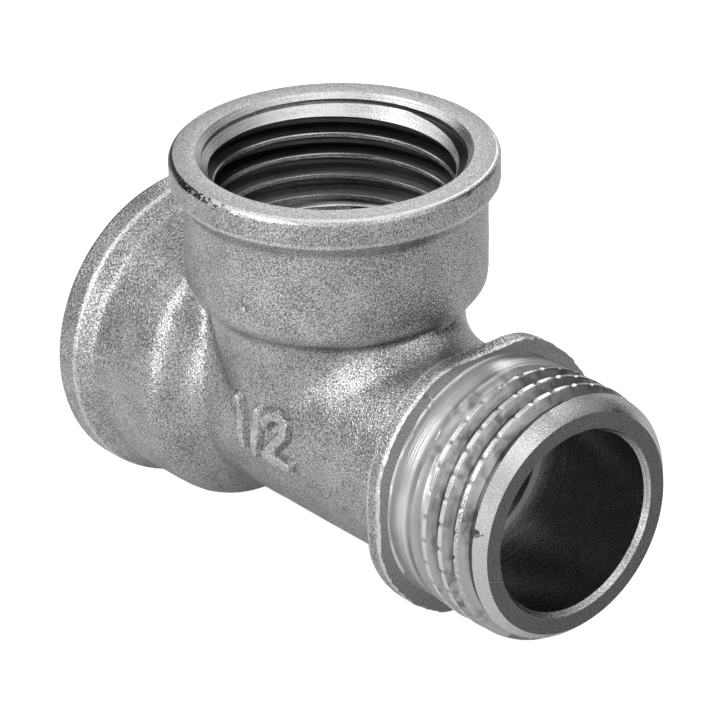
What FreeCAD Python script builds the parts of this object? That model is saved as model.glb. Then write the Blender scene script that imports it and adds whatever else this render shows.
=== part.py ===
import FreeCAD, Part
import math
import os

# A forged pipe tee in millimetres, one solid.
# The run lies along X: a female socket at -X and the male thread at +X.
# The branch rises along Z and ends in a second female socket.
# The origin is where the two axes cross.

Vector = FreeCAD.Vector
ORIGIN = Vector(0, 0, 0)
X_AXIS = Vector(1, 0, 0)
Y_AXIS = Vector(0, 1, 0)
Z_AXIS = Vector(0, 0, 1)

# Reach of the three ends from the crossing of the axes
branch_reach = 21.8
socket_reach = 20.2
spigot_reach = 28.0

# Outside of both sockets
rim_radius = 13.0
rim_length = 2.3
rim_edge = 0.3
taper_length = 1.3
socket_radius = 12.0
socket_length = 9.9
shoulder_radius = 2.3
shoulder_angle = 50.0

# Inside of both sockets, bored to the minor diameter of the thread
socket_bore_radius = 9.5
mouth_radius = 10.9
mouth_edge = 0.45
mouth_wall_length = 0.35
thread_depth = 11.0
drill_half_angle = 59.0

# Forged pipe between the ends, the neck under the branch and their blends
pipe_radius = 9.15
neck_radius = 8.9
neck_flare = 8.5
saddle_blend = 3.0
run_foot_blend = 2.0
branch_foot_blend = 0.5

# The most of a shoulder's slope that the hollow at its foot may take up
slope_share = 0.9

# Waterway, and the wider bore of the male end
waterway_radius = 6.75
spigot_bore_radius = 7.45
spigot_bore_depth = 11.9
bore_edge_length = 0.65
bore_edge_width = 0.45

# Male thread at its full outside radius, lower over its first turn and chamfered
thread_radius = 10.4
thread_length = 10.2
lead_length = 2.6
lead_height = 0.35
chamfer_length = 1.1
chamfer_height = 1.0

# Collar behind the male thread: how far it and its flats stand out from the pipe
collar_step = 2.3
collar_top_step = 1.55
collar_side_step = 1.95
collar_thickness = 1.5
collar_blend = 0.9

# How far a bore runs out past its mouth, and how near two places count as one
overshoot = 1.0
same_place = 0.01


def at(radius, height):
    """A point of an outline that is turned about Z."""
    return Vector(radius, 0, height)


def on_circle(centre, radius, degrees):
    angle = math.radians(degrees)
    return centre + at(radius * math.cos(angle), radius * math.sin(angle))


def straight(points):
    """Straight edges from point to point."""
    return [Part.LineSegment(a, b).toShape() for a, b in zip(points, points[1:])]


def arc(centre, radius, start, end):
    """An arc of an outline, from one angle in degrees to another."""
    points = [on_circle(centre, radius, angle) for angle in (start, (start + end) / 2, end)]
    return Part.Arc(*points).toShape()


def turned(edges):
    """A closed outline turned about Z into a solid."""
    return Part.Face(Part.Wire(edges)).revolve(ORIGIN, Z_AXIS, 360)


def turned_points(points):
    return turned(straight(points + points[:1]))


def along_run(shape, direction):
    """Lays a shape that points up Z along the run, towards +X or -X."""
    return shape.rotated(ORIGIN, Y_AXIS, 90 * direction)


def tangent(degrees):
    return math.tan(math.radians(degrees))


def neck_radius_at(height):
    """The neck widens from the axis of the run up to the branch's shoulder."""
    return neck_radius + height * tangent(neck_flare)


def slope_foot(slope_top, tube_radius, tube_flare):
    """The point where a shoulder's slope would meet its tube in a sharp corner."""
    rise = slope_top.x - tube_radius - slope_top.z * tangent(tube_flare)
    height = slope_top.z - rise / (tangent(shoulder_angle) - tangent(tube_flare))
    return at(tube_radius + height * tangent(tube_flare), height)


def hollow_foot(slope_top, tube_radius, tube_flare, foot_blend):
    """Centre and radius of the hollow between a shoulder's slope and its tube."""
    corner = slope_foot(slope_top, tube_radius, tube_flare)
    half_turn = (shoulder_angle - tube_flare) / 2
    room = slope_share * (slope_top - corner).Length
    blend = min(foot_blend, room / tangent(half_turn))
    middle = 180 - tube_flare - half_turn
    return on_circle(corner, -blend / math.cos(math.radians(half_turn)), middle), blend


def socket_outside(reach, tube_radius, tube_flare, foot_blend):
    """Rim, taper, round body, and a shoulder that slopes in to its tube."""
    rim_end = reach - rim_length
    body_top = rim_end - taper_length
    body_end = reach - socket_length
    shoulder_centre = at(socket_radius - shoulder_radius, body_end)
    slope_top = on_circle(shoulder_centre, shoulder_radius, -shoulder_angle)
    blend_centre, blend = hollow_foot(slope_top, tube_radius, tube_flare, foot_blend)
    slope_end = on_circle(blend_centre, blend, 180 - shoulder_angle)
    tube_top = on_circle(blend_centre, blend, 180 - tube_flare)
    tube = straight([
        tube_top,
        at(tube_radius, 0),
        at(0, 0),
        at(0, reach),
        at(rim_radius - rim_edge, reach),
        at(rim_radius, reach - rim_edge),
        at(rim_radius, rim_end),
        at(socket_radius, body_top),
        at(socket_radius, body_end),
    ])
    shoulder = arc(shoulder_centre, shoulder_radius, 0, -shoulder_angle)
    slope = straight([slope_top, slope_end])
    foot = arc(blend_centre, blend, 180 - shoulder_angle, 180 - tube_flare)
    return turned(tube + [shoulder] + slope + [foot])


def socket_bore(reach):
    """Mouth in two slopes with a short wall between, thread bore and drilled cone."""
    wall_radius = mouth_radius - mouth_edge
    wall_top = reach - mouth_edge
    wall_end = wall_top - mouth_wall_length
    slope_end = wall_end - (wall_radius - socket_bore_radius)
    bottom = reach - thread_depth
    drill_slope = math.tan(math.radians(drill_half_angle))
    cone_tip = bottom - (socket_bore_radius - waterway_radius) / drill_slope
    return turned_points([
        at(0, 0),
        at(0, reach + overshoot),
        at(mouth_radius + overshoot, reach + overshoot),
        at(wall_radius, wall_top),
        at(wall_radius, wall_end),
        at(socket_bore_radius, slope_end),
        at(socket_bore_radius, bottom),
        at(waterway_radius, cone_tip),
        at(waterway_radius, 0),
    ])


def spigot_outside():
    """The male thread at its full radius, with its lower first turn and chamfer."""
    root = spigot_reach - thread_length
    lead_radius = thread_radius - lead_height
    return turned_points([
        at(0, root - collar_thickness),
        at(pipe_radius, root - collar_thickness),
        at(pipe_radius, root),
        at(thread_radius, root),
        at(thread_radius, spigot_reach - lead_length),
        at(lead_radius, spigot_reach - chamfer_length),
        at(lead_radius - chamfer_height, spigot_reach),
        at(0, spigot_reach),
    ])


def spigot_bore():
    """The bore of the male end, down to its flat step onto the waterway."""
    bottom = spigot_reach - spigot_bore_depth
    mouth = spigot_bore_radius + bore_edge_width
    return turned_points([
        at(0, 0),
        at(waterway_radius, 0),
        at(waterway_radius, bottom),
        at(spigot_bore_radius, bottom),
        at(spigot_bore_radius, spigot_reach - bore_edge_length),
        at(mouth, spigot_reach),
        at(mouth, spigot_reach + overshoot),
        at(0, spigot_reach + overshoot),
    ])


def collar():
    """A round plate with four flats, and the blend at its foot."""
    back = spigot_reach - thread_length - collar_thickness
    round_radius = pipe_radius + collar_step
    half_height = pipe_radius + collar_top_step
    half_width = pipe_radius + collar_side_step
    plate = Part.makeCylinder(round_radius, collar_thickness, at(0, back), Z_AXIS)
    corner = Vector(-half_height, -half_width, back)
    square = Part.makeBox(2 * half_height, 2 * half_width, collar_thickness, corner)
    blend_centre = at(pipe_radius + collar_blend, back - collar_blend)
    foot_sides = straight([
        on_circle(blend_centre, collar_blend, 180),
        at(0, back - collar_blend),
        at(0, back),
        on_circle(blend_centre, collar_blend, 90),
    ])
    foot = turned(foot_sides + [arc(blend_centre, collar_blend, 90, 180)])
    return plate.common(square).fuse(foot)


def is_on_both_pipes(edge):
    point = edge.valueAt((edge.FirstParameter + edge.LastParameter) / 2)
    off_neck = abs(math.hypot(point.x, point.y) - neck_radius_at(point.z))
    off_pipe = abs(math.hypot(point.y, point.z) - pipe_radius)
    return off_neck < same_place and off_pipe < same_place


def crossing_pipes():
    """The run's pipe with the branch's neck on it, blended at the saddle."""
    start = Vector(rim_length - socket_reach, 0, 0)
    length = spigot_reach - thread_length - start.x
    pipe = Part.makeCylinder(pipe_radius, length, start, X_AXIS)
    neck_top = pipe_radius + 2 * saddle_blend
    neck = Part.makeCone(neck_radius, neck_radius_at(neck_top), neck_top, ORIGIN, Z_AXIS)
    crossing = pipe.fuse(neck).removeSplitter().Solids[0]
    saddle = [edge for edge in crossing.Edges if is_on_both_pipes(edge)]
    return crossing.makeFillet(saddle_blend, saddle)


def forged_outside():
    """The forging before it is bored and threaded."""
    run_socket = along_run(socket_outside(socket_reach, pipe_radius, 0, run_foot_blend), -1)
    branch_socket = socket_outside(branch_reach, neck_radius, neck_flare, branch_foot_blend)
    return crossing_pipes().fuse([run_socket, branch_socket])


def tee_body():
    outside = forged_outside().fuse([along_run(spigot_outside(), 1), along_run(collar(), 1)])
    bores = [
        socket_bore(branch_reach),
        along_run(socket_bore(socket_reach), -1),
        along_run(spigot_bore(), 1),
    ]
    return outside.cut(bores).removeSplitter()


os.makedirs("parts", exist_ok=True)
tee_body().exportStep("parts/tee_body.step")
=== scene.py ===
from itertools import product
from math import cos, pi, radians, sin, tan

import bmesh
import bpy
import numpy as np
from mathutils import Matrix, Vector


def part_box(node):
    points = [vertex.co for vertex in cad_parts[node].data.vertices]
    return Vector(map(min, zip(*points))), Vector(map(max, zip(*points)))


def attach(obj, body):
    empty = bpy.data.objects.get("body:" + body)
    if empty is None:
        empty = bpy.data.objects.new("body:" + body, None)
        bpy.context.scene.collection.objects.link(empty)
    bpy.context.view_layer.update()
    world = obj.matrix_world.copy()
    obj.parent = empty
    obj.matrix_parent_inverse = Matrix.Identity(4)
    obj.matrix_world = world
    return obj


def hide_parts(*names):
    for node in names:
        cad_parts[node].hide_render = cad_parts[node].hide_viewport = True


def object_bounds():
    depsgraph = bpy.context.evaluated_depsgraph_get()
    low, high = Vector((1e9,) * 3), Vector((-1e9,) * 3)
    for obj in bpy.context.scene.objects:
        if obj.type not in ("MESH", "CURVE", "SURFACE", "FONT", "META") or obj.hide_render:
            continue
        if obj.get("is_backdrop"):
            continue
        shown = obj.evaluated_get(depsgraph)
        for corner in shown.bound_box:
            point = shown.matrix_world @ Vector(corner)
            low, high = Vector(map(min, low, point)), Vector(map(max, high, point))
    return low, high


# The looks of a forged and nickel-plated pipe tee.
# The mesh is worked out in millimetres in the frame's axes and scaled to metres at the end.
# The run lies along X with its male thread at +X, and the branch rises along Z.

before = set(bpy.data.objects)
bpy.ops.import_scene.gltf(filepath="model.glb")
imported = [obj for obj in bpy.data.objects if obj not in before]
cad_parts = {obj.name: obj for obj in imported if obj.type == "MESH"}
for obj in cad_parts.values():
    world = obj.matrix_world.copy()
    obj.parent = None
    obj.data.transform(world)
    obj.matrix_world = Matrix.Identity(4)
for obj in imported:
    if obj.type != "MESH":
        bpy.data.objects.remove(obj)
cad_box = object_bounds()

MM = 0.001
X, Y, Z = 0, 1, 2
RUN, BRANCH = X, Z

# Material slots on the body, in order
FORGED, RUN_TURNED, BRANCH_TURNED, RUN_THREAD, BRANCH_THREAD = range(5)

# Ends of the CAD body
cad_low, cad_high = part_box("tee_body")
branch_reach = cad_high.z / MM
socket_reach = -cad_low.x / MM
spigot_reach = cad_high.x / MM
rim_radius = cad_high.y / MM

# Forged outside of both sockets, as in the CAD body, with its corners rounded
rim_length = 2.3
taper_length = 1.3
socket_radius = 12.0
socket_length = 9.9
shoulder_radius = 2.3
shoulder_angle = 50.0
rim_corner = 0.5
taper_corner = 0.9

# How far in a shoulder's slope runs, as a share of the socket's radius
shoulder_end = 0.2

# The pipe of the run, and the neck under the branch, which closes fast below its start
pipe_radius = 9.15
neck_radius = 8.9
neck_flare = 8.5
neck_start = -0.5
neck_closing = 4.0

# How the forged parts blend, and how far under its body a socket still counts
saddle_blend = 3.0
neck_blend = 1.4
branch_crease = 0.45
socket_foot = 5.0

# Cosines between which two skins may face each other where a ball rolls along them
sharpest_meeting = -0.5
flattest_meeting = 0.985

# Collar behind the male thread
collar_radius = 11.45
collar_thickness = 1.5
collar_half_height = 10.7
collar_half_width = 11.1
collar_blend = 0.9
collar_corner = 0.5
collar_flat_corner = 0.2
collar_back_edge = 0.15
collar_front_edge = 0.4

# The edge turned on each socket's face, and the metal turned off the ends and the collar
rim_edge = 0.4
end_spare = 0.6
collar_spare = 0.08

# Bores
mouth_radius = 10.9
mouth_edge = 0.45
mouth_wall_length = 0.35
bore_radius = 9.5
bore_depth = 11.0
drill_half_angle = 59.0
waterway_radius = 6.75
spigot_bore_radius = 7.45
spigot_bore_depth = 11.9
spigot_edge_length = 0.45
spigot_edge_width = 0.32

# Threads: half widths of crest and root are shares of the pitch
pitch = 1.814
male_crest = 10.38
male_root = 9.5
male_blank = 10.12
male_crest_half = 0.1
male_root_half = 0.14
male_first_crest = 24.9
male_length = 10.2
male_foot = 0.16
male_fade_start = 19.5
male_fade_end = 21.9
female_root = 10.48
female_crest_half = 0.06
female_root_half = 0.1
female_first_crest = 18.63
female_crest_azimuth = 140.25
female_thread_end = 12.3
female_fade = 0.7
lead_length = 2.6
lead_height = 0.33
chamfer_length = 1.1
chamfer_height = 1.0

# Where the rows of vertices lie in a turn, all turns, and those behind the first crest
male_rows = (0.0, 0.1, 0.2, 0.28, 0.36, 0.5, 0.64, 0.72, 0.8, 0.9)
male_turns = 8
male_turns_behind = 5
female_rows = (0.0, 0.06, 0.15, 0.28, 0.41, 0.5, 0.59, 0.72, 0.85, 0.94)
female_turns = 6
female_turns_behind = 4

# The collar's front face, where the threaded end begins
collar_face = spigot_reach - male_length

# Notches pressed across the male crests
notches_per_turn = 32
notch_phase = 101.3
notch_depth = 0.14
notch_half_width = 0.13

# A nick in the male chamfer: its place along the run and out from it, and its half sizes
nick_place = (27.75, 9.75)
nick_angle = 166.0
nick_size = (0.8, 0.45, 0.6)

# A pit in the branch, and a burr at the male thread's foot as a bent strand
pit_place = (2.85, -11.95, 12.93)
pit_radius = 0.45
burr_radius = 0.09
burr_path = (
    (17.7, -6.2, 9.0),
    (18.3, -6.15, 9.35),
    (18.7, -6.3, 9.15),
    (18.75, -6.55, 8.7),
    (18.4, -6.6, 8.5),
)
strand_lean = (0.3, 0.2, 1.0)

# The size mark raised on the near side: strokes in the plane of X and Z
mark_height = 0.42
mark_width = 0.8
mark_slope = 0.14
mark_foot = mark_width / 2 + mark_slope
mark_moat = 0.12
mark_moat_width = 0.22
mark_strokes = (
    ((-2.33, 1.7), (-1.2, 2.75), (-0.87, -1.1)),
    ((1.15, 2.4), (0.56, -1.4)),
    ((1.86, 1.67), (2.36, 2.47), (3.27, 2.72), (4.12, 2.34), (4.18, 1.45), (1.97, -1.11), (4.7, -1.1)),
)
mark_low = (-4.0, -2.9)
mark_high = (5.9, 4.0)
mark_side = -0.6 * pipe_radius

# Unevenness of the forged skin, and of the torn lip on the collar
swell_seed = 3
swell_height = 0.012
swell_longest = 6.0
swell_shortest = 1.8
swell_waves = 40
torn_seed = 5
torn_longest = 1.6
torn_shortest = 0.5
torn_waves = 30
lip_height = 0.06
lip_length = 0.45
lip_mean = 0.8
lip_spread = 0.5

# Painted light: hollows get painted shade and edges a painted highlight, by how sharply the skin bends
bend_reach = 0.3
bend_of_edge = 2.0
# Painted shadow in the size mark's moat, and a painted highlight on its strokes
moat_shade = 0.7
moat_spread = 1.3
mark_top_highlight = 0.45

# Fineness of the meshes
corner_steps = 24
outline_steps = 8000
skin_cell = 0.34
mark_cuts = 3
male_columns = 8 * notches_per_turn
female_columns = 144
turned_columns = 144
sharp_angle = 32.0

# How firmly a vertex is held to the middle of its cell, and how far it may stray, in cells
cell_hold = 0.06
cell_play = 0.6

# Settling on the skin: longest step, least squared slope, how near a vertex has to be, and
# the least slope that is scaled up to a full direction
settle_step = 0.2
settle_slope = 0.2
settle_reach = 0.3
least_slope = 0.5

# How far cutters run out past the metal, overlap it inside and stay clear of a thread,
# and a distance that is beyond everything
overshoot = 1.5
overlap = 1.0
thread_clearance = 0.05
far_out = 40.0

# Keeps a divisor from being nothing
tiny = 1e-9


def tangent(degrees):
    return tan(radians(degrees))


def unit(vector):
    return vector / np.linalg.norm(vector)


def placed(along, across, up, axis):
    """A point given along a turned part's axis and in two directions across it."""
    if axis == RUN:
        return (along, across, up)
    return (across, up, along)


def rounded_outline(corners):
    """Points along straight runs between corners, each corner rounded by its radius."""
    points = [np.array(corners[0][:2])]
    for before, here, after in zip(corners, corners[1:], corners[2:]):
        corner = np.array(here[:2])
        back = unit(np.array(before[:2]) - corner)
        ahead = unit(np.array(after[:2]) - corner)
        half = np.arccos(np.clip(back @ ahead, -1, 1)) / 2
        middle = unit(back + ahead)
        centre = corner + middle * here[2] / sin(half)
        start = corner + back * here[2] / tan(half)
        end = corner + ahead * here[2] / tan(half)
        for share in np.linspace(0, 1, corner_steps):
            on_chord = start + (end - start) * share
            points.append(centre + here[2] * unit(on_chord - centre))
    points.append(np.array(corners[-1][:2]))
    return np.array(points)


class Outline:
    """The radius of a turned skin, and its slope, at a distance along the axis."""

    def __init__(self, corners):
        points = rounded_outline(corners)
        order = np.argsort(points[:, 0])
        self.place = np.linspace(points[:, 0].min(), points[:, 0].max(), outline_steps)
        self.radius = np.interp(self.place, points[order, 0], points[order, 1])
        self.slope = np.gradient(self.radius, self.place)

    def distance(self, place, radius):
        """Signed distance to the skin, with the slope there and its stretch."""
        slope = np.interp(place, self.place, self.slope)
        stretch = np.sqrt(1 + slope**2)
        return (radius - np.interp(place, self.place, self.radius)) / stretch, slope, stretch


def socket_corners(reach):
    """Rim, taper, round body and shoulder of a socket, from past its face to inside its tube."""
    body_end = reach - socket_length - shoulder_radius * tangent(shoulder_angle / 2)
    slope_end = body_end - (1 - shoulder_end) * socket_radius / tangent(shoulder_angle)
    return [
        (reach + overshoot, rim_radius),
        (reach - rim_length, rim_radius, rim_corner),
        (reach - rim_length - taper_length, socket_radius, taper_corner),
        (body_end, socket_radius, shoulder_radius),
        (slope_end, shoulder_end * socket_radius),
    ]


run_outline = Outline(socket_corners(socket_reach))
branch_outline = Outline(socket_corners(branch_reach))


def socket_skin(p, outline, reach, axis):
    """Distance to a socket along an axis, and its direction."""
    along = -p[:, X] if axis == RUN else p[:, Z]
    across = p[:, Z] if axis == RUN else p[:, X]
    radius = np.hypot(p[:, Y], across) + tiny
    gap, slope, stretch = outline.distance(along, radius)
    if axis == RUN:
        away = (slope, p[:, Y] / radius, across / radius)
    else:
        away = (across / radius, p[:, Y] / radius, -slope)
    foot = reach - socket_length - socket_foot
    return np.maximum(gap, foot - along), np.stack(away, 1) / stretch[:, None]


def pipe_skin(p):
    """Distance to the run's pipe, and its direction."""
    radius = np.hypot(p[:, Y], p[:, Z]) + tiny
    away = np.stack([np.zeros(len(p)), p[:, Y] / radius, p[:, Z] / radius], 1)
    return radius - pipe_radius, away


def neck_skin(p):
    """Distance to the cone under the branch, and its direction."""
    radius = np.hypot(p[:, X], p[:, Y]) + tiny
    flare = tangent(neck_flare)
    stretch = np.sqrt(1 + flare**2)
    gap = (radius - neck_radius - p[:, Z] * flare) / stretch
    gap = gap + neck_closing * np.maximum(neck_start - p[:, Z], 0)
    rise = np.full(len(p), -flare)
    away = np.stack([p[:, X] / radius, p[:, Y] / radius, rise], 1) / stretch
    return gap, away


def collar_skin(p):
    """Distance to the collar: a round plate with four flats."""
    back = collar_face - collar_thickness
    flats = (np.abs(p[:, Z]) - collar_half_height, np.abs(p[:, Y]) - collar_half_width)
    side = smooth_max(*flats, collar_flat_corner)
    side = smooth_max(side, np.hypot(p[:, Y], p[:, Z]) - collar_radius, collar_corner)
    side = smooth_max(side, back - p[:, X], collar_back_edge)
    front = p[:, X] - back - collar_thickness - collar_spare
    return smooth_max(side, front, collar_front_edge)


def smooth_step(value, start, end):
    """0 up to the start and 1 from the end on, with a soft rise between."""
    share = np.clip((value - start) / (end - start), 0, 1)
    return share * share * (3 - 2 * share)


def smooth_min(a, b, width):
    """The smaller of two distances, eased where they differ by less than a width."""
    mix = np.maximum(width - np.abs(a - b), 0) / width
    return np.minimum(a, b) - mix**2 * width / 4


def smooth_max(a, b, width):
    return -smooth_min(-a, -b, width)


def soft_union(a, away_a, b, away_b, width):
    """Union of two skins with a softened inside corner, and its direction."""
    share = np.clip(0.5 + (a - b) / (2 * width), 0, 1)[:, None]
    return smooth_min(a, b, width), (1 - share) * away_a + share * away_b


def rolled_union(a, away_a, b, away_b, radius):
    """Union whose inside corner is filled as by a ball rolled along it."""
    turn = np.clip((away_a * away_b).sum(1), sharpest_meeting, flattest_meeting)
    from_a = a - radius
    from_b = b - radius
    spread = 1 - turn**2
    share_a = (turn * from_b - from_a) / spread
    share_b = (turn * from_a - from_b) / spread
    squared = (from_a**2 + from_b**2 - 2 * turn * from_a * from_b) / spread
    reach = np.sqrt(np.maximum(squared, tiny))
    is_filled = (share_a > 0) & (share_b > 0)
    return np.where(is_filled, radius - reach, np.minimum(a, b))


def blended_union(a, b, radius):
    """Union of two skins that meet about square, its corner rounded hollow."""
    near = np.hypot(np.maximum(radius - a, 0), np.maximum(radius - b, 0))
    return np.maximum(radius, np.minimum(a, b)) - near


def forging(p):
    """Distance to the forged skin before any machining."""
    socket = socket_skin(p, run_outline, socket_reach, RUN)
    upper = soft_union(*neck_skin(p), *socket, neck_blend)
    body = rolled_union(*pipe_skin(p), *upper, saddle_blend)
    branch = socket_skin(p, branch_outline, branch_reach, BRANCH)[0]
    body = smooth_min(body, branch, branch_crease)
    return blended_union(body, collar_skin(p), collar_blend)


def slope_of(field, p, step=0.01):
    """Direction in which a field grows fastest, about one long."""
    columns = []
    for axis in (X, Y, Z):
        shift = np.zeros(3)
        shift[axis] = step
        columns.append((field(p + shift) - field(p - shift)) / (2 * step))
    return np.stack(columns, 1)


def sharpest_points(middles, planes, offsets, cells):
    """The point of each cell nearest to the planes of the skin that cross it."""
    outer = planes[:, :, None] * planes[:, None, :]
    matrix = np.zeros((cells.max() + 1, 3, 3))
    target = np.zeros((cells.max() + 1, 3))
    np.add.at(matrix, cells, outer)
    np.add.at(target, cells, planes * offsets[:, None])
    pull = cell_hold * np.eye(3)
    wanted = target - np.einsum("nij,nj->ni", matrix, middles)
    return middles + np.linalg.solve(matrix + pull, wanted[:, :, None])[:, :, 0]


def contour(field, lowest, highest, cell):
    """Vertices and quads of the skin where a field is zero, with its creases kept."""
    axes = [np.arange(a, b + cell, cell) for a, b in zip(lowest, highest)]
    grid = np.stack(np.meshgrid(*axes, indexing="ij"), -1)
    shape = grid.shape[:3]
    flat = grid.reshape(-1, 3)
    values = field(flat).reshape(shape)
    inside = values < 0
    crossings, cell_rows, quads = [], [], []
    number = np.arange(np.prod(shape)).reshape(shape)
    for axis in (X, Y, Z):
        first = [slice(1, -1)] * 3
        first[axis] = slice(0, -1)
        second = list(first)
        second[axis] = slice(1, None)
        first, second = tuple(first), tuple(second)
        changed = inside[first] != inside[second]
        start = number[first][changed]
        end = number[second][changed]
        v0 = values.ravel()[start]
        v1 = values.ravel()[end]
        share = (v0 / (v0 - v1))[:, None]
        crossings.append(flat[start] + (flat[end] - flat[start]) * share)
        u = number.strides[(axis + 1) % 3] // number.itemsize
        w = number.strides[(axis + 2) % 3] // number.itemsize
        around = np.stack([start - u - w, start - w, start, start - u], 1)
        leaving = (v0 < 0)[:, None]
        quads.append(np.where(leaving, around, around[:, ::-1]))
        cell_rows.append(around)
    points = np.concatenate(crossings)
    quads = np.concatenate(quads)
    used, owner = np.unique(np.concatenate(cell_rows), return_inverse=True)
    owner = owner.reshape(-1, 4)
    count = np.bincount(owner.ravel(), minlength=len(used))
    middles = np.zeros((len(used), 3))
    np.add.at(middles, owner.ravel(), np.repeat(points, 4, 0))
    middles /= count[:, None]
    away = slope_of(field, points)
    away /= np.linalg.norm(away, axis=1)[:, None]
    offsets = (away * points).sum(1)
    cells = owner.ravel()
    vertices = sharpest_points(middles, np.repeat(away, 4, 0), np.repeat(offsets, 4), cells)
    vertices = middles + np.clip(vertices - middles, -cell_play * cell, cell_play * cell)
    return vertices, np.searchsorted(used, quads)


def settled(field, p, rounds=2):
    """Points moved onto the skin along its slope."""
    for _ in range(rounds):
        away = slope_of(field, p)
        length = np.maximum((away**2).sum(1), settle_slope)
        p = p - away * (np.clip(field(p), -settle_step, settle_step) / length)[:, None]
    return p


def mesh_object(name, points, faces, slot):
    """A mesh object whose faces all have one material slot."""
    mesh = bpy.data.meshes.new(name)
    mesh.from_pydata([tuple(p) for p in points], [], [tuple(f) for f in faces])
    for material in materials:
        mesh.materials.append(material)
    mesh.polygons.foreach_set("material_index", [slot] * len(mesh.polygons))
    mesh.update()
    thing = bpy.data.objects.new(name, mesh)
    bpy.context.scene.collection.objects.link(thing)
    return thing


def places(mesh):
    """Where a mesh's vertices are, as rows."""
    p = np.empty(3 * len(mesh.vertices))
    mesh.vertices.foreach_get("co", p)
    return p.reshape(-1, 3)


def tube_faces(rings, columns, first, end):
    """Faces of a tube closed at both ends, by the numbers of its vertices.

    0 is the middle of its start, first is where its rings begin, and end is the middle of its end.
    """
    faces = []
    last = first + (rings - 1) * columns
    for column in range(columns):
        after = (column + 1) % columns
        faces.append((0, first + after, first + column))
        faces.append((end, last + column, last + after))
        for ring in range(rings - 1):
            a = first + ring * columns
            b = a + columns
            faces.append((a + column, a + after, b + after, b + column))
    return faces


def turned(name, outline, axis, slot, columns=turned_columns):
    """A closed solid turned from (distance along the axis, radius) points."""
    points = [placed(outline[0][0], 0, 0, axis), placed(outline[-1][0], 0, 0, axis)]
    rings = outline[1:-1]
    for along, radius in rings:
        for column in range(columns):
            angle = 2 * pi * column / columns
            points.append(placed(along, radius * cos(angle), radius * sin(angle), axis))
    faces = tube_faces(len(rings), columns, 2, 1)
    return outward(mesh_object(name, points, faces, slot))


def outward(thing):
    """Turns the faces of a closed mesh outwards."""
    mesh = thing.data
    mesh.calc_loop_triangles()
    corners = places(mesh)
    a, b, c = (corners[[t.vertices[k] for t in mesh.loop_triangles]] for k in range(3))
    if (a * np.cross(b, c)).sum() < 0:
        mesh.flip_normals()
    return thing


def helical(name, radius_at, start, turns, rows, columns, axis, slot):
    """A closed solid whose rows of vertices climb along a right-hand thread.

    radius_at takes the distance along the axis, the place across the thread's form,
    from 0 at one crest to 1 at the next, and the angle in turns.
    """
    count = len(rows)
    turn = np.arange(columns) / columns
    step = np.array([k + row for k in range(turns) for row in rows] + [turns])
    along = start + pitch * (step[:, None] + turn[None, :])
    form = np.tile((step % 1)[:, None], (1, columns))
    radius = radius_at(along, form, np.tile(turn, (len(step), 1)))
    angle = 2 * pi * turn
    points = []
    for j in range(len(step)):
        for c in range(columns):
            reach = radius[j, c]
            points.append(placed(along[j, c], reach * cos(angle[c]), reach * sin(angle[c]), axis))

    def number(j, c):
        """Number of a vertex; past the last column, the thread has climbed by a turn."""
        return (j + count) * columns if c == columns else j * columns + c

    faces = []
    top = len(step) - 1
    for c in range(columns):
        last = top - count if c == columns - 1 else top
        for j in range(last):
            faces.append((number(j, c), number(j, c + 1), number(j + 1, c + 1), number(j + 1, c)))
    bottom_loop = [number(0, c) for c in range(columns)] + [number(j, 0) for j in range(count, 0, -1)]
    top_loop = [number(top - count + j, columns - 1) for j in range(count)]
    top_loop += [number(top, c) for c in reversed(range(columns))]
    for loop, row in ((bottom_loop, along[0]), (top_loop, along[-1])):
        centre = len(points)
        points.append(placed(float(row.mean()), 0, 0, axis))
        for a, b in zip(loop, loop[1:] + loop[:1]):
            faces.append((centre, b, a))
    return outward(mesh_object(name, points, faces, slot))


def combined(base, operation, cutter):
    """Joins, cuts or keeps what a second solid covers, and removes that solid."""
    modifier = base.modifiers.new(operation.lower(), "BOOLEAN")
    modifier.operation = operation
    modifier.object = cutter
    modifier.solver = "MANIFOLD"
    modifier.material_mode = "INDEX"
    graph = bpy.context.evaluated_depsgraph_get()
    result = bpy.data.meshes.new_from_object(base.evaluated_get(graph))
    base.modifiers.clear()
    base.data = result
    bpy.data.objects.remove(cutter)
    return base


def thread_form(form, crest_half, root_half):
    """Height across a thread's form, 1 on the crest and 0 in the root."""
    off = np.minimum(form, 1 - form)
    return np.clip((0.5 - root_half - off) / (0.5 - root_half - crest_half), 0, 1)


def male_radius(along, form, turn):
    """The male thread, fading into a plain band towards the collar."""
    depth = smooth_step(along, male_fade_start, male_fade_end)
    crest = male_blank + (male_crest - male_blank) * depth
    root = male_blank + (male_root - male_blank) * depth
    radius = root + (crest - root) * thread_form(form, male_crest_half, male_root_half)
    apart = (turn - notch_phase / 360) * notches_per_turn
    off = np.abs(apart - np.round(apart))
    notch = notch_depth * np.clip(1 - off / notch_half_width, 0, 1) * depth
    foot = np.clip(1 - (along - collar_face) / male_foot, 0, 1)
    return np.minimum(radius, crest - notch) + male_foot * foot**2


def male_thread():
    """The threaded end with its lower first turn and its chamfer."""
    start = male_first_crest - male_turns_behind * pitch
    thread = helical("male", male_radius, start, male_turns, male_rows, male_columns, RUN, RUN_THREAD)
    outside = male_crest + thread_clearance
    lead = outside - lead_height
    envelope = turned("male_envelope", [
        (collar_face - overlap, 0),
        (collar_face - overlap, outside),
        (spigot_reach - lead_length, outside),
        (spigot_reach - chamfer_length, lead),
        (spigot_reach, lead - chamfer_height),
        (spigot_reach, 0),
    ], RUN, RUN_TURNED, male_columns)
    return combined(thread, "INTERSECT", envelope)


def female_radius(along, form, turn):
    """Grooves of a female thread, seen from inside the socket."""
    depth = smooth_step(along, female_thread_end, female_thread_end + female_fade)
    ridge = thread_form(form, female_crest_half, female_root_half)
    inner = bore_radius - thread_clearance
    return inner + (female_root - inner) * (1 - ridge) * depth


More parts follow.
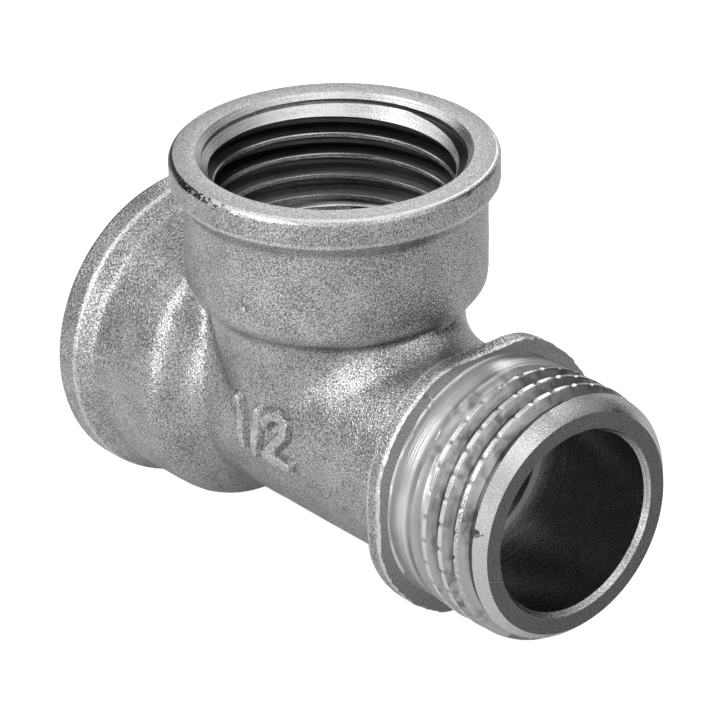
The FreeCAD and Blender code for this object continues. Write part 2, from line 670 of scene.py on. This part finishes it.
def female_thread(name, slot):
    """The grooves that a tap cuts in the branch's socket."""
    start = female_first_crest - female_turns_behind * pitch - pitch * female_crest_azimuth / 360
    sizes = (start, female_turns, female_rows, female_columns)
    return helical(name, female_radius, *sizes, BRANCH, slot)


def socket_cut(name, slot):
    """Mouth in two slopes, bore, drilled cone and waterway of the branch's socket."""
    wall_radius = mouth_radius - mouth_edge
    wall_top = branch_reach - mouth_edge
    wall_end = wall_top - mouth_wall_length
    bottom = branch_reach - bore_depth
    cone_tip = bottom - (bore_radius - waterway_radius) / tangent(drill_half_angle)
    return turned(name, [
        (0, 0),
        (0, waterway_radius),
        (cone_tip, waterway_radius),
        (bottom, bore_radius),
        (wall_end - (wall_radius - bore_radius), bore_radius),
        (wall_end, wall_radius),
        (wall_top, wall_radius),
        (branch_reach + overshoot, mouth_radius + overshoot),
        (branch_reach + overshoot, 0),
    ], BRANCH, slot)


def facing(name, slot):
    """What is turned off the branch's end: its face, and the edge around it in two slopes."""
    step = rim_edge / 3
    past = rim_radius + overshoot
    return turned(name, [
        (branch_reach, 0),
        (branch_reach, rim_radius - rim_edge),
        (branch_reach - step, rim_radius - step),
        (branch_reach - rim_edge, rim_radius),
        (branch_reach - rim_edge - 2 * overshoot, past),
        (branch_reach + overshoot, past),
        (branch_reach + overshoot, 0),
    ], BRANCH, slot)


def laid_along_run(thing):
    """Moves a cutter from the branch's socket to the run's."""
    turn = Matrix.Rotation(radians(-90), 4, "Y")
    shift = Matrix.Translation((branch_reach - socket_reach, 0, 0))
    thing.data.transform(shift @ turn)
    return thing


def spigot_cut():
    """Bore of the male end down to its step, and the waterway behind it."""
    bottom = spigot_reach - spigot_bore_depth
    mouth = spigot_bore_radius + spigot_edge_width
    slope = spigot_edge_width / spigot_edge_length
    return turned("spigot_cut", [
        (-overlap, 0),
        (-overlap, waterway_radius),
        (bottom, waterway_radius),
        (bottom, spigot_bore_radius),
        (spigot_reach - spigot_edge_length, spigot_bore_radius),
        (spigot_reach + overshoot, mouth + slope * overshoot),
        (spigot_reach + overshoot, 0),
    ], RUN, RUN_TURNED)


def block(name, lowest, highest, slot):
    """A box between two corners."""
    points = list(product(*zip(lowest, highest)))
    faces = [(0, 1, 3, 2), (4, 6, 7, 5), (0, 4, 5, 1), (2, 3, 7, 6), (0, 2, 6, 4), (1, 5, 7, 3)]
    return outward(mesh_object(name, points, faces, slot))


def strand(name, path, radius, slot, sides=8):
    """A thin closed tube that follows straight runs between points."""
    path = np.array(path)
    points = [path[0]]
    befores = np.concatenate([path[:1], path[:-1]])
    afters = np.concatenate([path[1:], path[-1:]])
    for before, here, after in zip(befores, path, afters):
        ahead = unit(after - before)
        first = unit(np.cross(ahead, strand_lean))
        second = np.cross(ahead, first)
        for side in range(sides):
            angle = 2 * pi * side / sides
            points.append(here + radius * (cos(angle) * first + sin(angle) * second))
    points.append(path[-1])
    faces = tube_faces(len(path), sides, 1, len(points) - 1)
    return outward(mesh_object(name, points, faces, slot))


def nick():
    """A small wedge that takes a bite out of the male chamfer."""
    along, out = nick_place
    length, depth, width = nick_size
    corners = ((-1, -1, 1), (1, -1, 1), (1, 1, 1), (-1, 1, 1), (-1, 0, -1), (1, 0, -1))
    points = [(along + x * length, y * width, out + z * depth) for x, y, z in corners]
    faces = [(0, 1, 2, 3), (0, 4, 5, 1), (3, 2, 5, 4), (0, 3, 4), (1, 5, 2)]
    wedge = mesh_object("nick", points, faces, RUN_TURNED)
    wedge.data.transform(Matrix.Rotation(radians(nick_angle - 90), 4, "X"))
    return outward(wedge)


def pit():
    """A ball that leaves a shallow pit in the branch."""
    shape = bmesh.new()
    bmesh.ops.create_icosphere(shape, subdivisions=2, radius=pit_radius)
    points = [np.array(vert.co) + pit_place for vert in shape.verts]
    faces = [[vert.index for vert in face.verts] for face in shape.faces]
    shape.free()
    return outward(mesh_object("pit", points, faces, FORGED))


class Swell:
    """Smooth unevenness made of waves that run in all directions."""

    def __init__(self, seed, longest, shortest, waves):
        draw = np.random.default_rng(seed)
        length = longest * (shortest / longest) ** draw.random(waves)
        away = draw.normal(size=(waves, 3))
        away /= np.linalg.norm(away, axis=1)[:, None]
        self.wave = away * (2 * pi / length)[:, None]
        self.phase = draw.random(waves) * 2 * pi
        self.scale = np.sqrt(2 / waves)

    def at(self, p):
        """Values around zero, mostly between -1 and 1."""
        return self.scale * np.sin(p @ self.wave.T + self.phase).sum(1)


def stroke_gap(u, v, stroke):
    """Distance from points of a plane to a stroke of straight runs."""
    gaps = []
    for (u0, v0), (u1, v1) in zip(stroke, stroke[1:]):
        run = (u1 - u0) ** 2 + (v1 - v0) ** 2
        share = np.clip(((u - u0) * (u1 - u0) + (v - v0) * (v1 - v0)) / run, 0, 1)
        gaps.append(np.hypot(u - u0 - share * (u1 - u0), v - v0 - share * (v1 - v0)))
    return np.min(gaps, 0)


def mark_gap(p):
    """Distance from the nearest stroke of the size mark, seen along Y."""
    return np.min([stroke_gap(p[:, X], p[:, Z], stroke) for stroke in mark_strokes], 0)


def mark_relief(p):
    """Height of the raised size mark, with a moat round it."""
    gap = mark_gap(p)
    raised = mark_height * smooth_step(gap, mark_foot, mark_width / 2)
    moat = mark_moat * np.clip(1 - np.abs(gap - mark_foot) / mark_moat_width, 0, 1)
    return (raised - moat) * (p[:, Y] < mark_side)


def painted_light_at(p):
    """Painted light on the forged skin: painted shade at -1 in sharp hollows, a painted highlight at 1 on
    sharp edges, and the size mark's own.
    """
    bend = -6 * forging(p)
    for axis in (X, Y, Z):
        shift = np.zeros(3)
        shift[axis] = bend_reach
        bend += forging(p + shift) + forging(p - shift)
    painted_light = np.clip(bend / bend_reach**2 / bend_of_edge, -1, 1)
    # The size mark: a painted highlight on the tops of its strokes and a painted shadow in its moat
    gap = mark_gap(p)
    top = mark_top_highlight * smooth_step(gap, mark_foot, mark_width / 2)
    fall = moat_spread * np.abs(gap - mark_foot) / mark_moat_width
    moat = moat_shade * np.clip(moat_spread - fall, 0, 1)
    return painted_light + (top - moat) * (p[:, Y] < mark_side)


def store_painted_light(body):
    """Writes the skin's painted highlights and painted shade on the body's vertices, for its materials to
    read.
    """
    painted_light = painted_light_at(places(body.data))
    body.data.attributes.new("painted_light", "FLOAT", "POINT").data.foreach_set("value", painted_light)


def lip_relief(p):
    """Height of the torn lip at the collar's front edge."""
    near = smooth_step(p[:, X], collar_face - lip_length, collar_face)
    outside = np.hypot(p[:, Y], p[:, Z]) > pipe_radius + collar_blend
    return lip_height * near * outside * np.clip(lip_mean + lip_spread * torn.at(p), 0, 2)


torn = Swell(torn_seed, torn_longest, torn_shortest, torn_waves)
swell = Swell(swell_seed, swell_longest, swell_shortest, swell_waves)


def is_at_mark(p):
    inside = mark_low[0] < p[X] < mark_high[0] and mark_low[1] < p[Z] < mark_high[1]
    return inside and p[Y] < mark_side


def refined_mark(skin):
    """Splits the faces where the size mark stands into finer ones."""
    shape = bmesh.new()
    shape.from_mesh(skin.data)
    edges = [edge for edge in shape.edges if all(is_at_mark(vert.co) for vert in edge.verts)]
    bmesh.ops.subdivide_edges(shape, edges=edges, cuts=mark_cuts, use_grid_fill=True)
    shape.to_mesh(skin.data)
    shape.free()


def roughened(skin):
    """Settles the vertices on the forging and adds its relief, inside the CAD body's box."""
    mesh = skin.data
    p = places(mesh)
    on_forging = np.abs(forging(p)) < settle_reach
    p[on_forging] = settled(forging, p[on_forging])
    away = slope_of(forging, p)
    away /= np.maximum(np.linalg.norm(away, axis=1), least_slope)[:, None]
    height = swell_height * swell.at(p) + mark_relief(p) + lip_relief(p)
    p = p + away * (height * on_forging)[:, None]
    past_ends = overshoot * ((p < -socket_reach) | (p > branch_reach))
    p = np.clip(p, np.array(cad_low) / MM - past_ends, np.array(cad_high) / MM + past_ends)
    mesh.vertices.foreach_set("co", p.ravel())
    mesh.update()


def forged_skin():
    """The forging's outside as a closed mesh, faced at its three ends."""
    margin = 4 * skin_cell
    lowest = (-socket_reach - margin, -rim_radius - margin, -rim_radius - margin)
    highest = (collar_face + margin, rim_radius + margin, branch_reach + margin)

    def field(p):
        back = -socket_reach - end_spare - p[:, X]
        front = p[:, X] - collar_face - end_spare
        top = p[:, Z] - branch_reach - end_spare
        return np.maximum.reduce([forging(p), back, front, top])

    points, quads = contour(field, lowest, highest, skin_cell)
    points = settled(field, points)
    skin = outward(mesh_object("skin", points, quads, FORGED))
    refined_mark(skin)
    roughened(skin)
    combined(skin, "DIFFERENCE", facing("top", BRANCH_TURNED))
    combined(skin, "DIFFERENCE", laid_along_run(facing("back", RUN_TURNED)))
    front = block("front", (collar_face, -far_out, -far_out), (far_out, far_out, far_out), RUN_TURNED)
    return combined(skin, "DIFFERENCE", front)


# Sizes of the noise in each metal, in millimetres
forged_grain = 0.13
forged_pits = 0.32
forged_speck = 0.125
forged_tone = 2.6
turned_rings = 0.16
turned_grain = 0.14
turned_tone = 1.5
thread_rings = 0.2
thread_grain = 0.2
thread_blotch = 0.9
thread_patches = 3.5
lip_grain = 0.5
dark_stretch_grain = 0.3

# Noise, or another share, at which a change starts and at which it is complete
forged_contrast = (0.38, 0.62)
turned_contrast = (0.37, 0.63)
streak_contrast = (0.35, 0.65)
blotch_contrast = (0.36, 0.6)
patch_contrast = (0.48, 0.6)
# Over the painted light the vertices carry: where the painted highlight on edges starts and is full, and
# the same for painted shade in hollows
painted_highlight_range = (0.2, 0.8)
painted_shade_range = (-0.55, -1.0)
flank_heights = (0.02, 0.1)
crest_heights = (0.86, 0.95)

# The same for how squarely a face looks along an axis, as a cosine
square_facing = (0.9, 0.95)
ledge_facing = (0.5, 0.6)
steep_facing = (0.5, 0.2)

# Depths of the relief, in millimetres
forged_grain_depth = 0.05
forged_pit_depth = 0.03
side_depth = 0.03
face_grain_depth = 0.05
thread_grain_depth = 0.012
thread_ring_depth = 0.02

# Colour of the plating, and the darkest specks of turned faces
nickel_tone = (0.99, 0.985, 1.0)
turned_darkest = 0.5

# Brightness of the forged metal: at least and at most, the share of its broad tone in that,
# the painted highlight that sharp edges get, and the painted shade in hollows
forged_darkest = 0.2
forged_brightness = 0.82
forged_tone_share = 0.15
edge_brightness = 0.5
hollow_shade = 0.3

# Roughness, over each metal's tone or from root to crest, and what faces and steps add
forged_roughness = (0.14, 0.2)
turned_roughness = (0.14, 0.24)
thread_roughness = (0.32, 0.2)
face_roughness = 0.2
step_roughness = 0.3

# The painted highlight on the collar's lip: how far its width wanders, and where it starts and is full
lip_wander = 0.8
lip_start = 0.08
lip_full = 0.14

# A darker stretch of the branch's turned edge, in degrees about the branch, and how dark it is
dark_stretch_start = -135.0
dark_stretch_end = -92.0
dark_stretch_fade = 30.0
dark_stretch_wander = 90.0
dark_stretch_end_fade = 4.0
dark_stretch_shade = 0.12

# How far past the face's edge the darker stretch starts, and is complete
dark_stretch_inner = 0.02
dark_stretch_outer = 0.08

# How far past a bore's wall its metal still counts as inside
bore_margin = 0.08

# Where turned faces start to get darker towards the run's male end
faces_dim = 20.0

# The plain band between the collar and the male thread, painted at full brightness as a painted highlight
blank_middle = 18.7
blank_half = 0.9

# Places between which the branch's thread is painted darker towards its mouth, as painted shade
thread_dims = 15.0
thread_dimmed = 17.5

# Where noise is read for a second pattern
other_space = (1, 2, 3)


class Nodes:
    """Adds nodes to a material and links them by name."""

    def __init__(self, name):
        self.material = bpy.data.materials.new(name)
        self.material.use_nodes = True
        self.tree = self.material.node_tree
        self.shader = self.tree.nodes["Principled BSDF"]

    def add(self, kind, inputs=(), **settings):
        node = self.tree.nodes.new(kind)
        for key, value in settings.items():
            setattr(node, key, value)
        self.fill(node, dict(inputs))
        return node

    def fill(self, node, inputs):
        """Links what comes from other nodes, and sets plain values on the sockets themselves."""
        for key, value in inputs.items():
            if isinstance(value, bpy.types.NodeSocket):
                self.tree.links.new(value, node.inputs[key])
            else:
                node.inputs[key].default_value = value

    def place(self):
        return self.add("ShaderNodeTexCoord").outputs["Object"]

    def parts(self, vector):
        return self.add("ShaderNodeSeparateXYZ", {"Vector": vector}).outputs

    def shifted(self, vector):
        """Another part of space, where noise has a pattern of its own."""
        return self.add("ShaderNodeVectorMath", {0: vector, 1: other_space}).outputs["Vector"]

    def noise(self, vector, grain, detail=2.0, rough=0.5):
        """Noise whose features are about one grain in size, in millimetres."""
        inputs = {"Vector": vector, "Scale": 1 / (grain * MM), "Detail": detail, "Roughness": rough}
        return self.add("ShaderNodeTexNoise", inputs).outputs["Fac"]

    def lines(self, value, width, detail=2.0):
        """Noise along one number, for the marks of a turning tool."""
        inputs = {"W": value, "Scale": 1 / (width * MM), "Detail": detail}
        return self.add("ShaderNodeTexNoise", inputs, noise_dimensions="1D").outputs["Fac"]

    def math(self, operation, a, b=0.0, c=0.0):
        return self.add("ShaderNodeMath", {0: a, 1: b, 2: c}, operation=operation).outputs[0]

    def sum(self, a, b):
        return self.math("ADD", a, b)

    def times(self, a, b):
        return self.math("MULTIPLY", a, b)

    def times_plus(self, a, b, c):
        return self.math("MULTIPLY_ADD", a, b, c)

    def larger(self, a, b):
        return self.math("MAXIMUM", a, b)

    def span(self, value, low, high, start=0.0, end=1.0):
        """A value from start to end turned into one from low to high."""
        inputs = {"Value": value, "From Min": start, "From Max": end, "To Min": low, "To Max": high}
        return self.add("ShaderNodeMapRange", inputs).outputs["Result"]

    def tint(self, share, low, high):
        """A grey between two brightnesses, as cool as in the photograph.

        The Mix node's colour sockets have names that others have too, so they go by number.
        """
        inputs = {0: share, 6: nickel_colour(low), 7: nickel_colour(high)}
        return self.add("ShaderNodeMix", inputs, data_type="RGBA").outputs[2]

    def bump(self, height, depth, under=None):
        """Relief of a depth in millimetres, on top of other relief."""
        inputs = {"Height": height, "Distance": depth * MM, "Strength": 1.0}
        if under is not None:
            inputs["Normal"] = under
        return self.add("ShaderNodeBump", inputs).outputs["Normal"]

    def finish(self, colour, roughness, normal):
        inputs = {"Base Color": colour, "Roughness": roughness, "Normal": normal, "Metallic": 1.0}
        self.fill(self.shader, inputs)
        return self.material


def nickel_colour(brightness):
    return (*(part * brightness for part in nickel_tone), 1)


def painted_lip_highlight(nodes, place):
    """Share of a painted highlight along the collar's front edge, of uneven width."""
    ragged = nodes.times(nodes.noise(place, lip_grain, detail=2.0), lip_wander * MM)
    reach = nodes.sum(nodes.parts(place)["X"], ragged)
    return nodes.span(reach, 0.0, 1.0, (collar_face + lip_start) * MM, (collar_face + lip_full) * MM)


def forged_nickel():
    """Plated forging, blasted before plating: a grainy, softly uneven skin, with painted highlights and
    shade.
    """
    nodes = Nodes("forged_nickel")
    place = nodes.place()
    grain = nodes.noise(place, forged_grain, detail=1.0, rough=0.6)
    pits = nodes.noise(place, forged_pits, detail=1.0)
    tone = nodes.noise(place, forged_tone, detail=3.0)
    speck = nodes.noise(nodes.shifted(place), forged_speck, detail=1.0, rough=0.7)
    relief = nodes.bump(grain, forged_grain_depth, nodes.bump(pits, forged_pit_depth))
    shade = nodes.times_plus(tone, forged_tone_share, nodes.times(speck, 1 - forged_tone_share))
    shade = nodes.span(shade, 0.0, forged_brightness, *forged_contrast)
    # A painted highlight along the collar's front edge
    shade = nodes.sum(shade, painted_lip_highlight(nodes, place))
    # Painted highlights on sharp edges and the size mark's strokes, and painted shade in hollows and the
    # mark's moat, as the vertices carry them
    painted_light = nodes.add("ShaderNodeAttribute", attribute_name="painted_light").outputs["Fac"]
    edge = nodes.span(painted_light, 0.0, edge_brightness, *painted_highlight_range)
    shade_painted_in_hollows = nodes.span(painted_light, 1.0, hollow_shade, *painted_shade_range)
    shade = nodes.times(nodes.sum(shade, edge), shade_painted_in_hollows)
    colour = nodes.tint(shade, forged_darkest, 1.0)
    return nodes.finish(colour, nodes.span(tone, *forged_roughness), relief)


def axis_distances(nodes, place, axis):
    """Distance of the surface along a turned part's axis, and out from it."""
    parts = nodes.parts(place)
    along, other = (parts["X"], parts["Z"]) if axis == RUN else (parts["Z"], parts["X"])
    squares = nodes.sum(nodes.math("POWER", parts["Y"], 2.0), nodes.math("POWER", other, 2.0))
    return along, nodes.math("SQRT", squares)


def facing_share(nodes, axis, start, end):
    """How a face looks along an axis, as a share: 0 at the start cosine and 1 at the end."""
    normal = nodes.add("ShaderNodeNewGeometry").outputs["True Normal"]
    part = nodes.parts(normal)["X" if axis == RUN else "Z"]
    return nodes.span(nodes.math("ABSOLUTE", part), 0.0, 1.0, start, end)


def darker_edge_stretch(nodes, place, out):
    """Shade on the edge around the branch's face: darker along one ragged stretch, and 1 elsewhere."""
    parts = nodes.parts(place)
    angle = nodes.math("ARCTAN2", parts["Y"], parts["X"])
    noise = nodes.noise(place, dark_stretch_grain, detail=3.0)
    ragged = nodes.times_plus(noise, radians(dark_stretch_wander), angle)
    last = radians(dark_stretch_wander / 2)
    after = nodes.span(ragged, 0.0, 1.0, last + radians(dark_stretch_end), last + radians(dark_stretch_end + dark_stretch_end_fade))
    before = nodes.span(angle, 1.0, 0.0, radians(dark_stretch_start - dark_stretch_fade), radians(dark_stretch_start))
    edge = rim_radius - rim_edge
    within = nodes.span(out, 1.0, 0.0, (edge + dark_stretch_inner) * MM, (edge + dark_stretch_outer) * MM)
    clear = nodes.larger(within, nodes.larger(after, before))
    return nodes.span(clear, dark_stretch_shade, 1.0)


def turned_nickel(name, axis, bore, wall_shade, painted_ledge_highlight, inner_face, end_face, ring_depth):
    """Plated metal with the fine rings of a turning tool, painted shade down the bore and painted
    highlights on sloped faces and steps.
    """
    nodes = Nodes(name)
    place = nodes.place()
    along, out = axis_distances(nodes, place, axis)
    square = facing_share(nodes, axis, *square_facing)
    rings = nodes.lines(nodes.sum(along, out), turned_rings)
    rings = nodes.times(rings, nodes.span(square, side_depth, ring_depth))
    grain = nodes.noise(place, turned_grain, detail=2.0, rough=0.6)
    grain = nodes.times(grain, nodes.span(square, side_depth, face_grain_depth))
    relief = nodes.bump(grain, 1.0, nodes.bump(rings, 1.0))
    speck = nodes.noise(nodes.shifted(place), turned_grain, detail=1.0, rough=0.7)
    shade = nodes.span(speck, turned_darkest, 1.0, *turned_contrast)
    face = nodes.span(along, inner_face, end_face, faces_dim * MM, spigot_reach * MM)
    shade = nodes.times(shade, nodes.larger(face, nodes.span(square, 1.0, 0.0)))
    # Sloped faces such as chamfers and ledges get a painted highlight, which also evens out their specks
    ledge = nodes.math("SUBTRACT", facing_share(nodes, axis, *ledge_facing), square)
    shade = nodes.larger(shade, nodes.times(ledge, painted_ledge_highlight))
    # Steep walls down the bore get painted shade
    inside = nodes.math("LESS_THAN", out, (bore + bore_margin) * MM)
    painted_bore_shade = nodes.times(inside, facing_share(nodes, axis, *steep_facing))
    shade = nodes.times(shade, nodes.span(painted_bore_shade, 1.0, wall_shade))
    # Faces across the axis inside the bore, such as the male end's step, are painted fully bright, a
    # painted highlight
    step = nodes.times(inside, square)
    shade = nodes.larger(shade, step)
    # The branch's turned edge is darker along one ragged stretch
    if axis == BRANCH:
        shade = nodes.times(shade, darker_edge_stretch(nodes, place, out))
    tone = nodes.noise(place, turned_tone, detail=3.0)
    rough = nodes.times_plus(square, face_roughness, nodes.span(tone, *turned_roughness))
    rough = nodes.times_plus(step, step_roughness, rough)
    return nodes.finish(nodes.tint(shade, 0.0, 1.0), rough, relief)


def threaded_nickel(name, axis, root, crest, root_shade, deep_shade, outer_shade, blotch_darkness, streak):
    """Plated threads: painted shade in the root, a painted highlight on the smoother crest, with soft
    darker blotches.
    """
    nodes = Nodes(name)
    place = nodes.place()
    along, out = axis_distances(nodes, place, axis)
    rings = nodes.lines(nodes.sum(along, out), thread_rings)
    grain = nodes.noise(place, thread_grain)
    relief = nodes.bump(grain, thread_grain_depth, nodes.bump(rings, thread_ring_depth))
    # Darker blotches, only within large patches
    patchy = nodes.noise(nodes.shifted(place), thread_patches, detail=1.0)
    patchy = nodes.span(patchy, 0.0, 1.0, *patch_contrast)
    blotch = nodes.noise(place, thread_blotch, detail=2.0)
    spots = nodes.times(nodes.span(blotch, blotch_darkness, 0.0, *blotch_contrast), patchy)
    # The flanks' brightness, painted darker towards the branch's mouth as painted shade
    flank = nodes.span(along, deep_shade, outer_shade, thread_dims * MM, thread_dimmed * MM)
    flank = nodes.times(flank, nodes.span(rings, 1 - streak, 1 + streak / 2, *streak_contrast))
    height = nodes.span(out, 0.0, 1.0, root * MM, crest * MM)
    # Painted shade in the thread's root
    lit = nodes.span(height, root_shade, flank, *flank_heights)
    lit = nodes.times(lit, nodes.span(spots, 1.0, 0.0))
    # A painted highlight on the crest, which also gets a smoother finish below
    crest_polish_and_highlight = nodes.span(height, 0.0, 1.0, *crest_heights)
    shade = nodes.larger(lit, crest_polish_and_highlight)
    # The plain band before the male thread is painted at full brightness, a painted highlight
    if axis == RUN:
        off_blank = nodes.math("ABSOLUTE", nodes.math("SUBTRACT", along, blank_middle * MM))
        blank = nodes.span(off_blank, 1.0, 0.0, blank_half * MM, 2 * blank_half * MM)
        shade = nodes.larger(shade, blank)
    rough = nodes.span(crest_polish_and_highlight, *thread_roughness)
    return nodes.finish(nodes.tint(shade, 0.0, 1.0), rough, relief)


materials = [
    forged_nickel(),
    turned_nickel(
        "run_turned_nickel", RUN, bore=spigot_bore_radius, wall_shade=0.45, painted_ledge_highlight=0.8,
        inner_face=0.5, end_face=0.25, ring_depth=0.04,
    ),
    turned_nickel(
        "branch_turned_nickel", BRANCH, bore=waterway_radius, wall_shade=0.5, painted_ledge_highlight=1.0,
        inner_face=0.84, end_face=0.84, ring_depth=0.004,
    ),
    threaded_nickel(
        "run_thread_nickel", RUN, root=male_root, crest=male_crest, root_shade=0.2,
        deep_shade=0.67, outer_shade=0.67, blotch_darkness=0.55, streak=0.08,
    ),
    threaded_nickel(
        "branch_thread_nickel", BRANCH, root=female_root, crest=bore_radius, root_shade=0.2,
        deep_shade=0.45, outer_shade=0.07, blotch_darkness=0.2, streak=0.4,
    ),
]


def tee():
    """The whole body: skin, male end, sockets and bores."""
    body = forged_skin()
    combined(body, "UNION", male_thread())
    combined(body, "DIFFERENCE", socket_cut("branch_cut", BRANCH_TURNED))
    combined(body, "DIFFERENCE", female_thread("branch_thread", BRANCH_THREAD))
    combined(body, "DIFFERENCE", laid_along_run(socket_cut("run_cut", RUN_TURNED)))
    combined(body, "DIFFERENCE", laid_along_run(female_thread("run_thread", RUN_THREAD)))
    combined(body, "DIFFERENCE", spigot_cut())
    combined(body, "DIFFERENCE", nick())
    combined(body, "DIFFERENCE", pit())
    combined(body, "UNION", strand("burr", burr_path, burr_radius, RUN_TURNED))
    store_painted_light(body)
    body.name = "nickel_tee"
    body.data.transform(Matrix.Scale(MM, 4))
    body.data.shade_smooth()
    body.data.set_sharp_from_angle(angle=radians(sharp_angle))
    return body


body = tee()
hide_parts("tee_body")
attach(body, "root")

# The floor: half its size in metres, its grey, and its own light where seen and elsewhere
floor_half = 0.6
floor_grey = 0.76
floor_roughness = 0.9
floor_glow = 0.9
floor_glimmer = 0.05
white = (1, 1, 1, 1)


def floor():
    """A pale floor under the body, lit up where it is seen."""
    corners = [(-1, -1), (1, -1), (1, 1), (-1, 1)]
    mesh = bpy.data.meshes.new("floor")
    mesh.from_pydata([(floor_half * x, floor_half * y, 0) for x, y in corners], [], [(0, 1, 2, 3)])
    ground = bpy.data.objects.new("floor", mesh)
    ground.location = (0, 0, cad_low.z)
    bpy.context.scene.collection.objects.link(ground)
    nodes = Nodes("pale_floor")
    seen = nodes.add("ShaderNodeLightPath").outputs["Is Camera Ray"]
    nodes.fill(nodes.shader, {
        "Base Color": (floor_grey, floor_grey, floor_grey, 1),
        "Roughness": floor_roughness,
        "Emission Color": white,
        "Emission Strength": nodes.span(seen, floor_glimmer, floor_glow),
    })
    mesh.materials.append(nodes.material)
    ground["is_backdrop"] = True


floor()

# The photograph's camera: its direction, its distance and its long lens
camera_azimuth = 50.251
camera_elevation = 27.367
camera_roll = -1.127
camera_distance = 405.97
aim_right = 1.6125
aim_up = 2.8966
focal_pixels = 5079.521
photo_height = 721
sensor_height = 36.0
nearest_seen = 0.01


def photo_camera():
    """The camera where the photograph's was."""
    a, e, r = radians(camera_azimuth), radians(camera_elevation), radians(camera_roll)
    back = Vector((sin(a) * cos(e), -cos(a) * cos(e), sin(e)))
    level = (-back).cross(Vector((0, 0, 1))).normalized()
    upright = level.cross(-back)
    right = cos(r) * level + sin(r) * upright
    up = -sin(r) * level + cos(r) * upright
    place = (aim_right * right + aim_up * up + camera_distance * back) * MM
    data = bpy.data.cameras.new("camera")
    data.sensor_fit = "VERTICAL"
    data.sensor_height = sensor_height
    data.lens = focal_pixels * sensor_height / photo_height
    data.clip_start = nearest_seen
    camera = bpy.data.objects.new("camera", data)
    turn = Matrix((right, up, back)).transposed().to_4x4()
    camera.matrix_world = Matrix.Translation(place) @ turn
    bpy.context.scene.collection.objects.link(camera)
    bpy.context.scene.camera = camera


photo_camera()

# The studio: name, azimuth and elevation of each soft light, and its power in watts
light_distance = 0.5
light_size = 0.26
soft_lights = (
    ("left", -84, 6, 0.55),
    ("left_back", -128, 9, 0.12),
    ("back_left", 150, 10, 0.08),
    ("left_front", -54, 8, 0.16),
    ("front", -28, 10, 0.08),
    ("ahead", 0, 9, 0.16),
    ("right_front", 30, 10, 0.07),
    ("left_back_high", -150, 35, 0.18),
    ("left_high", -105, 36, 0.55),
    ("front_high", -52, 37, 0.12),
    ("ahead_high", -15, 38, 0.18),
    ("right_front_high", 15, 38, 0.18),
    ("right_high", 75, 38, 0.06),
    ("right_back", 112, 14, 0.1),
    ("back_high", 135, 36, 0.3),
    ("over_left", -120, 64, 0.15),
    ("over_back_left", 180, 56, 0.15),
    ("over_back_right", 120, 64, 0.11),
    ("over_right", 60, 64, 0.13),
    ("over_front", -32, 64, 0.15),
    ("over_all", 0, 90, 0.15),
)

# Lights that stand nearer, as a share of the others' distance, and the world's own light
near_lights = {"left_high": 0.4, "left_back_high": 0.5, "over_left": 0.5}
world_glow = 0.035


def softbox(name, direction, power, nearness):
    """A square area light that looks at the body from a direction.

    A nearer one is smaller and weaker to match, and lights the body less evenly.
    """
    data = bpy.data.lights.new(name, "AREA")
    data.shape = "SQUARE"
    data.size = light_size * nearness
    data.energy = power * nearness**2
    lamp = bpy.data.objects.new(name, data)
    towards = Vector(direction).normalized()
    lamp.location = towards * light_distance * nearness
    lamp.rotation_euler = towards.to_track_quat("Z", "Y").to_euler()
    bpy.context.scene.collection.objects.link(lamp)


def studio():
    """The soft lights all round, and a world that glows a little."""
    for name, azimuth, elevation, power in soft_lights:
        a, e = radians(azimuth), radians(elevation)
        direction = (cos(a) * cos(e), sin(a) * cos(e), sin(e))
        softbox(name, direction, power, near_lights.get(name, 1.0))
    world = bpy.data.worlds.new("studio")
    world.use_nodes = True
    background = world.node_tree.nodes["Background"].inputs
    background["Color"].default_value = white
    background["Strength"].default_value = world_glow
    bpy.context.scene.world = world
    bpy.context.scene.view_settings.view_transform = "Standard"


studio()

[[list(corner) for corner in box] for box in (cad_box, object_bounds())]
